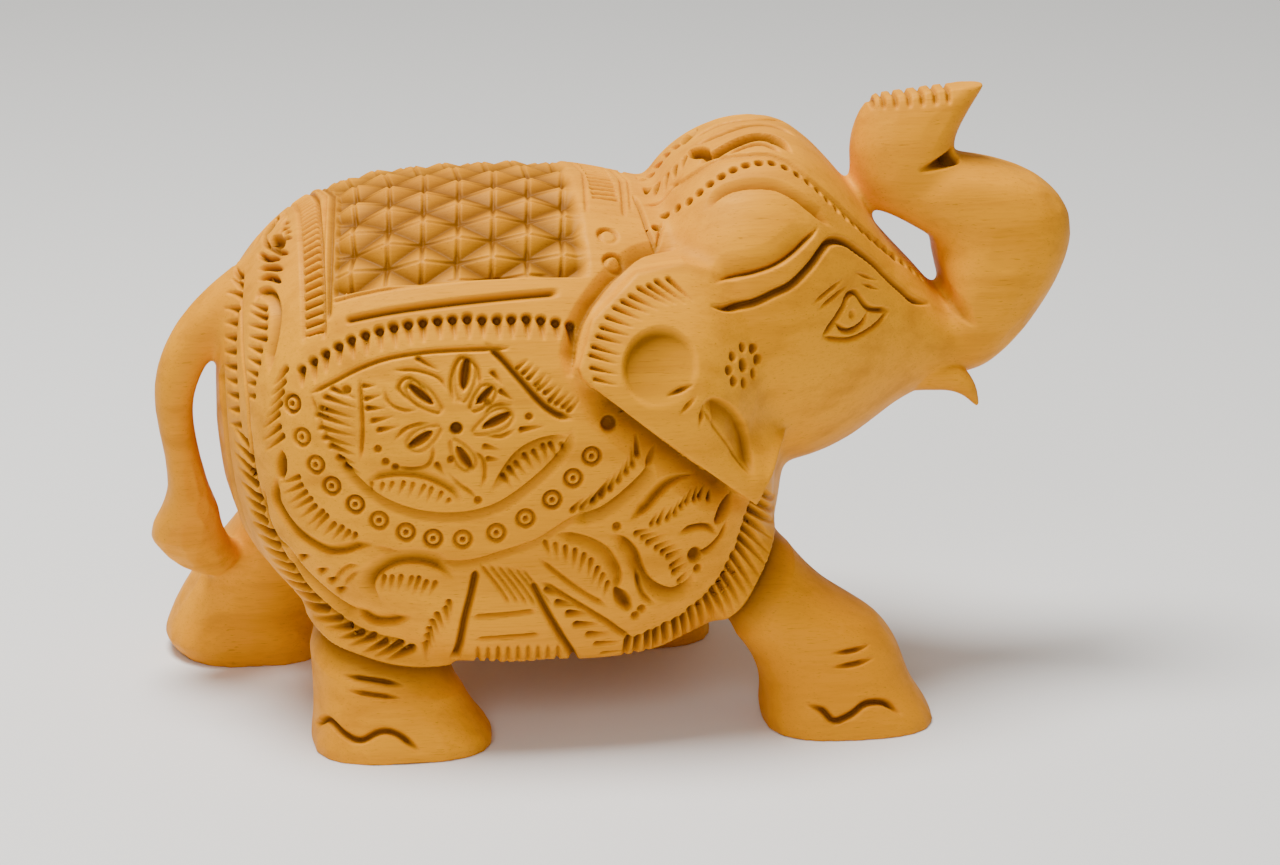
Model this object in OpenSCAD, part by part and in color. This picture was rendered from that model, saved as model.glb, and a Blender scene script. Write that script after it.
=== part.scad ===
// Carved wooden elephant, walking, with its trunk raised and curled back to its forehead.
// +X is forwards, +Y is the elephant's left and +Z is up. The four soles stand on Z = 0,
// and the origin is at the bottom centre of the figure's box.

/* [Figure] */
// Half of the overall length, from the tail's tuft to the trunk's bend
half_length = 77; // [76.5:0.5:79]
// Half width of the barrel under the cloth
flank_w = 35.5; // [34:0.5:37]
// Half width of the head at the cheeks
cheek_w = 28; // [26:0.5:29]
// Distance from the middle plane to the middle of each sole
stance = 23.5; // [22.5:0.5:24.5]

/* [Saddle cloth] */
// Height that the cloth and the pad stand above the barrel
cloth_t = 1.4; // [1:0.1:2]
// Height of the hem at its lowest place
hem_z = 14; // [13.5:0.5:17]
// Height of the pad's lower edge on the flank
pad_z = 70; // [66:1:74]

/* [Ears and tusks] */
// Thickness of an ear, of which about half shows above the body
ear_t = 6; // [5:0.5:8]
// Radius of a tusk at its root
tusk_r = 2.6; // [2.2:0.1:3]

/* [Quality] */
// Points round the torso and the head
sides = 32; // [24:4:40]
// Rings between two stations
steps = 2; // [1:1:3]

/* [Hidden] */
wood = "#c98a3a";
cloth_wood = "#b8751f";

// A station is [x, y, z, lean, half_y, half_n, power, power_below]: a closed curve whose one axis
// is Y and whose other axis leans by that many degrees from +X towards +Z. It is a superellipse of
// one power on the side that the axis points to, and of the other power on the opposite side.
torso_line = [
    [-65.6, 0, 51.5, 90, 2.5, 3, 2, 2],
    [-64.6, 0, 51.5, 90, 10.5, 12, 2.1, 2.1],
    [-62, 0, 51, 90, 19.5, 20, 2.2, 2.4],
    [-57, 0, 50.8, 90, 26.5, 26.6, 2.2, 2.8],
    [-50, 0, 50.8, 90, 31, 32, 2.3, 3.4],
    [-41, 0, 50.9, 90, 34, 35.6, 2.3, 4.2],
    [-28, 0, 50.4, 90, flank_w, 37.4, 2.3, 5],
    [-12, 0, 50, 90, flank_w, 37.7, 2.3, 5],
    [0, 0, 49, 90, 34.8, 36.8, 2.3, 4.6],
    [10, 0, 48.4, 90, 33, 34, 2.3, 3.8],
    [18, 0, 46.8, 90, 29, 28.8, 2.2, 3],
    [23.6, 0, 44, 90, 21.5, 20.5, 2.1, 2.4],
    [26.6, 0, 42, 90, 12.5, 11.5, 2, 2.1],
    [27.6, 0, 41, 90, 3, 2.5, 2, 2]];

head_line = [
    [4, 0, 66, 90, 22, 15, 2, 2],
    [9, 0, 67, 90, 26, 22, 2.2, 2.2],
    [15, 0, 67.3, 90, cheek_w, 26.2, 2.3, 2.3],
    [22, 0, 67.4, 90, cheek_w, 28.4, 2.3, 2.3],
    [30, 0, 67, 91, 25.5, 27.8, 2.3, 2.3],
    [38, 0, 64.9, 92, 21, 22.6, 2.3, 2.3],
    [45.4, 0, 62.5, 94, 16, 14.9, 2.3, 2.3],
    [51.6, 0, 60.5, 97, 12, 10.4, 2.2, 2.2],
    [56.6, 0, 58.6, 104, 9.5, 7, 2.2, 2.2],
    [59.6, 0, 58.2, 110, 6, 4.5, 2, 2]];

trunk_line = [
    [55.5, 0, 60, 96, 8, 6, 2.2, 2.2],
    [57.6, 0, 60.5, 106, 10, 8.8, 2.4, 2.4],
    [60.2, 0, 64, 130, 10.6, 9.8, 2.5, 2.5],
    [62.8, 0, 68.2, 152, 10.4, 10.3, 2.6, 2.6],
    [64.8, 0, 72.8, 172, 10, 11.3, 2.6, 2.6],
    [half_length - 11.9, 0, 77, 188, 9.6, 11.8, 2.6, 2.6],
    [61.6, 0, 80.6, 202, 9, 11, 2.6, 2.6],
    [56.4, 0, 83, 214, 8.3, 9, 2.6, 2.6],
    [52, 0, 84.2, 222, 7.6, 7.4, 2.5, 2.5]];

trunk_tip_line = [
    [51.2, 0, 83.2, 216, 6.4, 6.4, 2.4, 2.4],
    [49.8, 0, 84.8, 204, 6.8, 8.4, 2.4, 2.4],
    [48.4, 0, 87.4, 192, 7, 8.8, 2.4, 2.4],
    [48.4, 0, 92.2, 183, 6, 8.8, 2.6, 2.6],
    [50.4, 0, 97, 182, 4.4, 9.3, 2.8, 2.8],
    [52.8, 0, 100.4, 185, 2.6, 9.6, 3, 3]];

tuft_n = 6.2;
tail_line = [
    [-56, 0, 73, -57, 5, 5, 2, 2],
    [-63, 0, 68.2, -51, 4.8, 4.5, 2.4, 2.4],
    [-68.6, 0, 62.8, -34, 4.5, 4, 2.6, 2.6],
    [-71.8, 0, 56.4, -15, 4.2, 3.7, 2.6, 2.6],
    [-72.5, 1, 50, 0, 4.1, 3.2, 2.6, 2.6],
    [-71.4, 2.4, 42.5, 9, 4.1, 3, 2.6, 2.6],
    [-70.4, 4, 36, 4, 4.4, 3.4, 2.6, 2.6],
    [-70.2, 5.6, 31.4, 2, 5, 4.9, 2.4, 2.4],
    [tuft_n - half_length, 7.4, 27, 10, 5, tuft_n, 2.2, 2.2],
    [-67.6, 10.5, 22, 30, 4.8, 4.8, 2.2, 2.2],
    [-63.5, 14.5, 18.5, 40, 4.4, 3.6, 2, 2]];

tusk_line = [
    [51, -6.4, 54.6, 68, tusk_r, tusk_r, 2, 2],
    [54.2, -7.4, 53.2, 62, tusk_r, tusk_r, 2, 2],
    [57.2, -8.2, 51.2, 46, 0.7 * tusk_r, 0.7 * tusk_r, 2, 2],
    [59.4, -8.6, 48.2, 36, 0.3, 0.3, 2, 2]];

// A leg's stations run down from inside the barrel to the sole, on the elephant's right side.
front_right_line = [
    [13, -16.5, 36, 0, 10.5, 9.8, 2.2, 2.2],
    [15.4, -18.4, 28.5, 0, 11, 11.8, 2.2, 2.2],
    [20.6, -20.6, 22.4, 0, 11, 12.6, 2.2, 2.2],
    [28.2, -22.2, 17.4, 0, 10.8, 13, 2.3, 2.3],
    [32, -23, 12.3, 0, 10.6, 12.6, 2.3, 2.3],
    [33.7, -stance, 7.5, 0, 10.8, 12.4, 2.4, 2.4],
    [35.2, -stance, 2.6, 0, 12, 13.9, 2.7, 2.7],
    [36, -stance, 0, 0, 12.2, 14.2, 2.8, 2.8]];

rear_right_line = [
    [-41, -17, 36, 0, 11, 12, 2.2, 2.2],
    [-41, -19.5, 26, 0, 11, 12.2, 2.2, 2.2],
    [-40.8, -21.8, 17, 0, 10.4, 12, 2.3, 2.3],
    [-40.4, -22.8, 10.5, 0, 10.6, 12, 2.3, 2.3],
    [-39.2, -stance, 5.5, 0, 11.4, 13.2, 2.5, 2.5],
    [-38, -stance, 1.6, 0, 12.4, 14.8, 2.8, 2.8],
    [-38, -stance, 0, 0, 12.3, 14.7, 2.8, 2.8]];

front_left_line = [
    [8, -17, 34, 0, 11, 11, 2.2, 2.2],
    [7.8, -19, 26, 0, 11, 11.4, 2.2, 2.2],
    [7, -21.5, 15, 0, 10.6, 11, 2.3, 2.3],
    [6.4, -stance, 7, 0, 11, 11.8, 2.4, 2.4],
    [6, -stance, 1.8, 0, 12.2, 13.8, 3, 3],
    [6, -stance, 0, 0, 12.2, 13.8, 3, 3]];

rear_left_line = [
    [-45, -16, 36, 0, 10.5, 10.5, 2.2, 2.2],
    [-49.6, -19, 26, 0, 11, 11.2, 2.2, 2.2],
    [-53.4, -20.6, 20, 0, 10.8, 11.8, 2.3, 2.3],
    [-57, -22, 14, 0, 10.6, 12.4, 2.3, 2.3],
    [-59.4, -stance, 7.5, 0, 11, 13.4, 2.3, 2.3],
    [-60, -stance, 3, 0, 12, 14.2, 2.4, 2.4],
    [-58.8, -stance, 0, 0, 11.4, 12.4, 2.6, 2.6]];

// Height of the cloth's hem along X, from the rump to the chest.
hem = [[-64, 44], [-62.5, 38], [-60, 31], [-54, 23.5], [-46, 17.8], [-36, 15.4], [-24, hem_z + 0.2],
    [-8, hem_z - 0.2], [2, hem_z], [12, hem_z + 2.5], [18, 22.5], [22.5, 29], [23.6, 34]];
cloth_rear_x = -64;
cloth_front_x = 23.6;
cloth_columns = 30;
cloth_rows = 14;
// How far into the barrel the cloth reaches where it trims a leg.
sunk = 1.2;
// The pad covers the back between these places along X. The side cloths meet over the spine
// behind it and before it.
pad_rear_x = -46;
pad_front_x = -4;

// The free outline of the right ear, as x, y, z of its outer face, and the middle of that face.
ear_outline = [[8, -28.6, 79.6], [1, -32.6, 78.2], [-6, -36.4, 74.8], [-8.4, -38.6, 71], [-9.4, -39.2, 65.4],
    [-1, -38.8, 58], [9, -36.6, 50.4], [18.4, -32.4, 43], [22, -26, 51], [18, -29, 68]];
ear_middle = [4, -38.6, 65];

function signed_power(v, e) = sign(v) * pow(abs(v), e);

// The point of station s at angle a, which is 90 where its second axis points.
function rim(s, a) =
    let (e = 2 / (sin(a) < 0 ? s[7] : s[6]))
    let (across = signed_power(cos(a), e), along = signed_power(sin(a), e))
    [s[0] + s[5] * along * cos(s[3]), s[1] + s[4] * across, s[2] + s[5] * along * sin(s[3])];

// A cubic through b and c, with its slopes from the stations either side.
function between(a, b, c, d, t) = b + (c - a) * t / 2
    + (a - 2.5 * b + 2 * c - 0.5 * d) * t * t
    + (-0.5 * a + 1.5 * b - 1.5 * c + 0.5 * d) * t * t * t;

// The station at place p along a line, where whole numbers are the stations themselves.
function station(line, p) =
    let (last = len(line) - 1, i = min(floor(p), last - 1))
    between(line[max(i - 1, 0)], line[i], line[i + 1], line[min(i + 2, last)], p - i);

// The barrel's own station at x, which lies between the stations i and i + 1.
function barrel_at(x) =
    let (i = max([for (k = [0:len(torso_line) - 2]) torso_line[k][0] <= x ? k : 0]))
    station(torso_line, i + (x - torso_line[i][0]) / (torso_line[i + 1][0] - torso_line[i][0]));

function grown(s, t) = [s[0], s[1], s[2], s[3], s[4] + t, s[5] + t, s[6], s[7]];

// The angle at which station s has height z, on the elephant's right.
function angle_at(s, z) =
    let (share = (z - s[2]) / s[5], power = share < 0 ? s[7] : s[6])
    180 - asin(signed_power(max(-1, min(1, share)), power / 2));

// A closed skin over rings of equal length, with a flat cap at each end.
module skin(rings) {
    n = len(rings[0]);
    m = len(rings);
    points = [for (r = rings) each r];
    walls = [for (i = [0:m - 2], j = [0:n - 1])
        let (a = i * n + j, b = i * n + (j + 1) % n) each [[a, b + n, b], [a, a + n, b + n]]];
    first_cap = [for (j = [0:n - 1]) j];
    last_cap = [for (j = [n - 1:-1:0]) (m - 1) * n + j];
    polyhedron(points, concat(walls, [first_cap, last_cap]), convexity = 6);
}

module loft(line, n = sides, k = steps) {
    last = len(line) - 1;
    skin([for (i = [0:last * k]) let (s = station(line, i / k)) [for (j = [0:n - 1]) rim(s, 360 * j / n)]]);
}

// The barrel with the cloth on it, as one solid for cutting the parts that meet it.
module covered_barrel() {
    loft([for (s = torso_line) grown(s, cloth_t)]);
}

// One side of the cloth from the hem up to the spine. It stands cloth_t above the barrel and goes
// that deep below the barrel's skin. Each ring runs up its inner side and back down its outer side.
module half_cloth(depth = 0) {
    reach = cloth_front_x - cloth_rear_x;
    skin([for (i = [0:cloth_columns])
        let (x = cloth_rear_x + reach * i / cloth_columns, barrel = barrel_at(x))
        let (outer = grown(barrel, cloth_t), inner = grown(barrel, -depth))
        let (low = angle_at(outer, lookup(x, hem)), step = (90 - low) / cloth_rows)
        concat([for (j = [0:cloth_rows]) rim(inner, low + step * j)],
            [for (j = [cloth_rows:-1:0]) rim(outer, low + step * j)])]);
}

module pad_zone() {
    translate([pad_rear_x, -50, pad_z]) cube([pad_front_x - pad_rear_x, 100, 50]);
}

module side_cloth() {
    difference() {
        half_cloth();
        pad_zone();
    }
}

module leg(line) {
    difference() {
        loft(line, 20);
        torso();
        half_cloth(sunk);
    }
}

module ear() {
    n = len(ear_outline);
    inner = [for (p = ear_outline) p + [0, ear_t, 0]];
    points = concat(ear_outline, inner, [ear_middle, ear_middle + [0, ear_t, 0]]);
    faces = [for (i = [0:n - 1]) let (j = (i + 1) % n) each
        [[i, 2 * n, j], [n + i, n + j, 2 * n + 1], [i, j, n + j], [i, n + j, n + i]]];
    polyhedron(points, faces, convexity = 4);
}

module on_left() {
    mirror([0, 1, 0]) children();
}

module torso() {
    color(wood) loft(torso_line);
}

module saddle_cloth_right() {
    color(cloth_wood) side_cloth();
}

module saddle_cloth_left() {
    on_left() saddle_cloth_right();
}

module saddle_pad() {
    color(cloth_wood) intersection() {
        union() {
            half_cloth();
            on_left() half_cloth();
        }
        pad_zone();
    }
}

module head() {
    color(wood) difference() {
        loft(head_line);
        covered_barrel();
    }
}

module trunk() {
    color(wood) difference() {
        loft(trunk_line, 24);
        loft(head_line);
    }
}

module trunk_tip() {
    color(wood) difference() {
        loft(trunk_tip_line, 24);
        loft(trunk_line, 24);
        loft(head_line);
    }
}

module ear_right() {
    color(wood) difference() {
        ear();
        covered_barrel();
        loft(head_line);
    }
}

module ear_left() {
    on_left() ear_right();
}

module tusk_right() {
    color(wood) difference() {
        loft(tusk_line, 14);
        loft(trunk_line, 24);
        loft(head_line);
    }
}

module tusk_left() {
    on_left() tusk_right();
}

module leg_front_right() {
    color(wood) leg(front_right_line);
}

module leg_front_left() {
    color(wood) on_left() leg(front_left_line);
}

module leg_rear_right() {
    color(wood) leg(rear_right_line);
}

module leg_rear_left() {
    color(wood) on_left() leg(rear_left_line);
}

module tail() {
    color(wood) difference() {
        loft(tail_line, 16);
        covered_barrel();
        on_left() loft(rear_left_line, 20);
    }
}

torso();
saddle_cloth_right();
saddle_cloth_left();
saddle_pad();
head();
trunk();
trunk_tip();
ear_right();
ear_left();
tusk_right();
tusk_left();
leg_front_right();
leg_front_left();
leg_rear_right();
leg_rear_left();
tail();
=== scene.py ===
import math

import bpy
import numpy as np
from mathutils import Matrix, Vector
from mathutils.bvhtree import BVHTree


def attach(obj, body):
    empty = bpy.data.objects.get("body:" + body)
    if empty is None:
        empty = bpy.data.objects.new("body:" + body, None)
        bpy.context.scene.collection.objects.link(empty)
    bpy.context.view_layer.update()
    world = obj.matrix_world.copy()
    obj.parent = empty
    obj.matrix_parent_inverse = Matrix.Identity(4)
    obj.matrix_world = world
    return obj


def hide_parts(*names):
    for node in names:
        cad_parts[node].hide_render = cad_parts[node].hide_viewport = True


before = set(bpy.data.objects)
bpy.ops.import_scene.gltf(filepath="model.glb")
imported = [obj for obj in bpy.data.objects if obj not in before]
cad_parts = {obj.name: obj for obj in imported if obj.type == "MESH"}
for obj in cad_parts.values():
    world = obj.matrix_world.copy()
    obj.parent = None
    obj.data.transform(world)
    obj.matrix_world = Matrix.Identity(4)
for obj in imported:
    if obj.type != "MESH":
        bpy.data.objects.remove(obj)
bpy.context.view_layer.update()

# The CAD's parts grow together into one skin. The carving is cut into it, and it is then divided into
# one closed piece for each CAD part. Lengths are in mm, and in metres for camera, lights and floor.

MM = 0.001
COARSE = 0.6  # mm, the grid on which the body's parts grow together
FINE = 0.25  # mm, the grid that holds the carving
BODY_NODES = [
    "torso", "saddle_cloth_right", "saddle_cloth_left", "saddle_pad", "head", "trunk", "trunk_tip",
    "leg_front_right", "leg_front_left", "leg_rear_right", "leg_rear_left", "tail",
]
NODES = BODY_NODES + ["ear_right", "ear_left", "tusk_right", "tusk_left"]


# ---------------------------------------------------------------- meshes as arrays, in mm
def mesh_object(name, points, faces):
    """A mesh object from points in mm and a list or array of faces."""
    mesh = bpy.data.meshes.new(name)
    faces = faces.tolist() if isinstance(faces, np.ndarray) else faces
    mesh.from_pydata((np.asarray(points) * MM).tolist(), [], faces)
    piece = bpy.data.objects.new(name, mesh)
    bpy.context.scene.collection.objects.link(piece)
    return piece


def triangles_of(node):
    """Points in mm and triangles of a CAD node."""
    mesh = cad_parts[node].data
    world = np.array(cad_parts[node].matrix_world)
    mesh.calc_loop_triangles()
    points = np.empty(3 * len(mesh.vertices))
    mesh.vertices.foreach_get("co", points)
    tris = np.empty(3 * len(mesh.loop_triangles), int)
    mesh.loop_triangles.foreach_get("vertices", tris)
    points = points.reshape(-1, 3) @ world[:3, :3].T + world[:3, 3]
    return points / MM, tris.reshape(-1, 3)


def joined(parts):
    """Several (points, faces) as one."""
    points, faces, start = [], [], 0
    for part_points, part_faces in parts:
        points.append(part_points)
        faces += [[i + start for i in face] for face in np.asarray(part_faces).tolist()]
        start += len(part_points)
    return np.vstack(points), faces


def remeshed(points, faces, grid):
    """One closed skin of quads round everything in the mesh, on a grid in mm."""
    piece = mesh_object("skin", points, faces)
    modifier = piece.modifiers.new("skin", "REMESH")
    modifier.mode = "VOXEL"
    modifier.voxel_size = grid * MM
    skin = piece.evaluated_get(bpy.context.evaluated_depsgraph_get()).to_mesh()
    new_points = np.empty(3 * len(skin.vertices))
    skin.vertices.foreach_get("co", new_points)
    quads = np.empty(4 * len(skin.polygons), int)
    skin.loops.foreach_get("vertex_index", quads)
    bpy.data.objects.remove(piece)
    return new_points.reshape(-1, 3) / MM, quads.reshape(-1, 4)


def edge_pairs(quads):
    """The four edges of every quad, each as two point numbers in the quad's own direction."""
    return np.vstack([quads[:, [i, (i + 1) % 4]] for i in range(4)])


class Smoother:
    """Moves each point of a quad mesh towards the mean of its neighbours."""

    def __init__(self, count, quads):
        edges = np.unique(np.sort(edge_pairs(quads), axis=1), axis=0)
        self.ends = np.concatenate([edges[:, 0], edges[:, 1]])
        self.others = np.concatenate([edges[:, 1], edges[:, 0]])
        self.count = count
        self.links = np.maximum(np.bincount(self.ends, minlength=count), 1)

    def mean(self, values):
        """The mean of the neighbours' values, at each point."""
        if values.ndim == 1:
            return np.bincount(self.ends, values[self.others], self.count) / self.links
        return np.stack([self.mean(values[:, k]) for k in range(values.shape[1])], axis=1)

    def smooth(self, points, times, share=0.5):
        share = np.reshape(share, (-1, 1)) if np.ndim(share) else share
        for _ in range(times):
            points = points + share * (self.mean(points) - points)
        return points


def normals_of(points, quads):
    """The normal at each point, from the quads round it."""
    a, b, c, d = (points[quads[:, i]] for i in range(4))
    face = np.cross(c - a, d - b)
    total = np.zeros_like(points)
    for i in range(4):
        for k in range(3):
            total[:, k] += np.bincount(quads[:, i], face[:, k], len(points))
    return total / np.maximum(np.linalg.norm(total, axis=1, keepdims=True), 1e-9)


def ramp(x, low, high):
    """0 below low, 1 above high, smooth between."""
    t = np.clip((x - low) / (high - low), 0, 1)
    return t * t * (3 - 2 * t)


def through(points, step=0.6):
    """A smooth line through a few points, with a new point every step mm."""
    p = np.asarray(points, float)
    p = np.vstack([2 * p[0] - p[1], p, 2 * p[-1] - p[-2]])
    line = []
    for a, b, c, d in zip(p, p[1:], p[2:], p[3:]):
        count = max(1, round(np.linalg.norm(c - b) / step))
        square, cube = a - 2.5 * b + 2 * c - d / 2, 1.5 * b - a / 2 - 1.5 * c + d / 2
        for t in np.arange(count) / count:
            line.append(b + (c - a) * t / 2 + square * t**2 + cube * t**3)
    return np.array(line + [p[-2]])


def spaced(points, count):
    """A number of places at equal distances along a smooth line through points."""
    line = through(points, 0.2)
    along = np.append(0, np.cumsum(np.linalg.norm(np.diff(line, axis=0), axis=1)))
    at = np.linspace(0, along[-1], count)
    return np.stack([np.interp(at, along, line[:, k]) for k in range(line.shape[1])], axis=1)


# ---------------------------------------------------------------- the figure before it is carved
EAR_REACH = 39.1  # mm from the middle plane to the ears' outermost place
EAR_THICKNESS = 6
SOFT_EDGE = 0.35  # mm that the ears' outer edge is taken down


def ear_depth(x, z):
    """Y of the right ear's outer face, which bends towards the head above, below and in front."""
    bend = 0.0042 * (x + 9) ** 2
    fall = 0.019 * max(0, z - 56) ** 2 + 0.004 * max(0, 56 - z) ** 2
    turn_in = 0.045 * max(0, x - 8) ** 2 * float(ramp(z, 45, 53))
    return -(EAR_REACH - bend - fall - turn_in)


def ear_outline():
    """The ear from the side: five straight knife cuts, and a curve that lies inside the cheek."""
    straight_cuts = [(8, 80), (0.2, 79), (-7.6, 73), (-10.2, 66), (-9.7, 64.6), (18.8, 41.1)]
    hidden_edge = [(18.8, 41.1), (22.5, 47.5), (27, 53), (27, 66), (19, 76), (8, 80)]
    sides = [through(cut, 1)[:-1] for cut in zip(straight_cuts, straight_cuts[1:])]
    return np.vstack(sides + [through(hidden_edge, 1)[:-1]])


def ear(sign):
    """A curved plate: the right ear with sign -1, the left one with sign 1. Each of its two faces is
    rings of points that shrink towards the middle."""
    outline, middle = ear_outline(), np.array([7, 62])
    shares = [1, 0.985, 0.9, 0.75, 0.6, 0.45, 0.3, 0.15]
    count, points, faces = len(outline), [], []
    for inwards in (0, EAR_THICKNESS):
        for share in shares:
            soften = SOFT_EDGE if share == 1 and inwards == 0 else 0
            for x, z in middle + (outline - middle) * share:
                points.append((x, sign * (-ear_depth(x, z) - inwards - soften), z))
        points.append((middle[0], sign * (-ear_depth(*middle) - inwards), middle[1]))
    back = len(shares) * count + 1
    for start in (0, back):
        for ring in range(len(shares) - 1):
            for i in range(count):
                j = (i + 1) % count
                a, b = start + ring * count, start + (ring + 1) * count
                faces += [(a + i, a + j, b + j), (a + i, b + j, b + i)]
        last = start + (len(shares) - 1) * count
        faces += [(last + i, last + (i + 1) % count, start + back - 1) for i in range(count)]
    for i in range(count):
        j = (i + 1) % count
        faces += [(i, back + i, back + j), (i, back + j, j)]
    return np.array(points), faces


def tusk(sign, sides=24):
    """A short tapering tusk, bent down, that starts inside the trunk."""
    line = through([(47.5, 5.8, 54.4), (52, 6.8, 54), (55.8, 7.8, 53), (58.4, 8.3, 51), (60.2, 8.6, 48)],
                   0.5)
    along = np.gradient(line, axis=0)
    along /= np.linalg.norm(along, axis=1, keepdims=True)
    across = np.cross(along, [0, 1, 0])
    across /= np.linalg.norm(across, axis=1, keepdims=True)
    third = np.cross(along, across)
    radius = 0.3 + 3.7 * (1 - np.linspace(0, 1, len(line)) ** 1.6)
    turn = np.arange(sides) * 2 * math.pi / sides
    rings = []
    for centre, r, u, v in zip(line, radius, across, third):
        rings.append(centre + r * (np.outer(np.cos(turn), u) + np.outer(np.sin(turn), v)))
    points = np.vstack(rings + [line[:1], line[-1:]])
    first, last, tip = len(points) - 2, len(points) - 1, (len(line) - 1) * sides
    faces = [(first, (i + 1) % sides, i) for i in range(sides)]
    faces += [(last, tip + i, tip + (i + 1) % sides) for i in range(sides)]
    for a in range(0, tip, sides):
        for i in range(sides):
            j = (i + 1) % sides
            faces += [(a + i, a + j, a + sides + j), (a + i, a + sides + j, a + sides + i)]
    return points * [1, sign, 1], faces


def plain_body():
    """The CAD parts and ears grown together, with soft fillets, flat soles and a thin fan and tuft."""
    parts = [triangles_of(node) for node in BODY_NODES] + [ear(-1), ear(1)]
    points, quads = remeshed(*joined(parts), COARSE)
    x, y, z = points.T
    ears = (x > -12) & (x < 19) & (np.abs(y) > 27) & (z > 39)
    fan = (z > 90) & (x > 36)
    tuft = (x < -58) & (z < 40)
    share = np.where(ears, 0.05, 0.5) * (0.06 + 0.94 * ramp(z, 1.5, 7))
    share[fan] *= 0.16
    share[tuft] *= 0.3
    smooth = Smoother(len(points), quads).smooth(points, 30, share)
    sole = points[:, 2] < 0.35
    smooth[sole, 2] = 0
    return smooth, quads


# ---------------------------------------------------------------- the carver's strokes
DEEPER = 1.5  # what depth_of multiplies a stroke's depth by


class Carver:
    """Cuts a skin along its normals. A stroke is given in mm as x, z seen from the elephant's right,
    or as lift says. It falls on the outermost surface there, and is repeated on the left side. The
    layer called hollow holds the broad slopes, and the one called cut the marks made on them."""

    def __init__(self, points, quads, surface):
        self.points, self.normals = points, normals_of(points, quads)
        mirror = np.where(points[:, 1:2] > 0, [[1, -1, 1]], [[1, 1, 1]])
        self.order = np.argsort(points[:, 0])
        self.side = (points * mirror)[self.order]
        self.facing = (self.normals * mirror)[self.order]
        self.hollow, self.cut = np.zeros(len(points)), np.zeros(len(points))
        self.surface = BVHTree.FromPolygons(surface[0].tolist(), surface[1].tolist())
        self.chance = np.random.default_rng(7)

    def lift(self, flat, seen_from="side"):
        """The points of the near surface at x, z from the side, x, y from above or y, z from behind."""
        line = []
        for a, b in flat:
            rays = {
                "side": ((a, -60, b), (0, 1, 0)),
                "above": ((a, b, 120), (0, 0, -1)),
                "behind": ((-90, a, b), (1, 0, 0)),
            }
            hit = self.surface.ray_cast(*rays[seen_from])[0]
            if hit is not None and (seen_from != "side" or hit.y < 0):
                line.append(tuple(hit))
        return np.array(line)

    def near(self, line, reach):
        """The numbers, in the order along X, of the points in a box round a line."""
        low, high = line.min(0) - reach, line.max(0) + reach
        first, last = np.searchsorted(self.side[:, 0], [low[0], high[0]])
        band = self.side[first:last]
        return first + np.nonzero(np.all((band > low) & (band < high), axis=1))[0]

    def measure(self, line, reach):
        """The points near a line: number, distance, side (positive to its left), place along it in mm.
        Last comes the line's whole length."""
        which = self.near(line, reach)
        points, facing = self.side[which], self.facing[which]
        best, side, place = np.full(len(which), 1e9), np.ones(len(which)), np.zeros(len(which))
        before = 0
        for a, b in zip(line, line[1:]):
            way, length = b - a, max(np.linalg.norm(b - a), 1e-6)
            share = np.clip((points - a) @ way / length**2, 0, 1)
            off = points - a - share[:, None] * way
            distance = np.linalg.norm(off, axis=1)
            closer = distance < best
            best[closer] = distance[closer]
            side[closer] = np.sign(np.einsum("ij,ij->i", np.cross(facing, way), off))[closer]
            place[closer] = before + share[closer] * length
            before += length
        close = best < reach
        return which[close], best[close], side[close], place[close], before

    def lower(self, layer, which, height):
        """Takes a layer down to a height, where it isn't lower already."""
        at = self.order[which]
        layer[at] = np.minimum(layer[at], height)

    def depth_of(self, depth):
        """A depth as it comes out by hand."""
        return DEEPER * depth * self.chance.uniform(0.9, 1.1)

    def groove(self, path, width=0.9, depth=0.6, taper=2.0, seen_from="side"):
        """A V cut that thins out at both ends."""
        line = self.lift(through(path), seen_from)
        which, distance, _, place, length = self.measure(line, width)
        ends = np.clip(np.minimum(place, length - place) / min(taper, length / 2) + 0.15, 0, 1)
        half = width / 2 * (0.45 + 0.55 * ends)
        self.lower(self.cut, which, -self.depth_of(depth) * ends * np.clip(1 - distance / half, 0,
                1) ** 0.8)

    def scoop(self, path, side=1, reach=2.4, depth=0.8, taper=3.0, wall=0.35, seen_from="side"):
        """A cut with one steep wall along the path and a slope on one side of it."""
        line = self.lift(through(path), seen_from)
        which, distance, left, place, length = self.measure(line, reach)
        ends = np.clip(np.minimum(place, length - place) / min(taper, length / 2) + 0.1, 0, 1)
        signed = distance * left * side
        slope = np.where(signed > 0, 1 - signed / (reach * (0.3 + 0.7 * ends)), 1 + signed / wall)
        self.lower(self.hollow, which, -self.depth_of(depth) * ends * np.clip(slope, 0, 1))

    def tick(self, start, end, width=1.0, depth=0.65, seen_from="side"):
        """A gouge that goes in deep at the start and runs out at the end."""
        wander = self.chance.normal(0, 0.12, (2, 2))
        line = self.lift(np.linspace(np.add(start, wander[0]), np.add(end, wander[1]), 5), seen_from)
        if len(line) < 2:
            return
        which, distance, _, place, length = self.measure(line, width)
        run = 1 - 0.85 * place / length
        half = width / 2 * (0.35 + 0.65 * run)
        self.lower(self.cut, which, -self.depth_of(depth) * run * np.clip(1 - (distance / half) ** 1.5, 0,
                1))

    def hatch(self, heads, tails, count, width=1.0, depth=0.65, seen_from="side"):
        """A row of ticks from one line to another."""
        for start, end in zip(spaced(heads, count), spaced(tails, count)):
            self.tick(start, end, width, depth, seen_from)

    def hole(self, at, radius, depth):
        """A drilled dot."""
        centre = self.lift([at])
        which = self.near(centre, radius + 0.5)
        distance = np.linalg.norm(self.side[which] - centre, axis=1)
        self.lower(self.cut, which, -depth * (1 - ramp(distance, radius * 0.55, radius * 1.1)))

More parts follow.
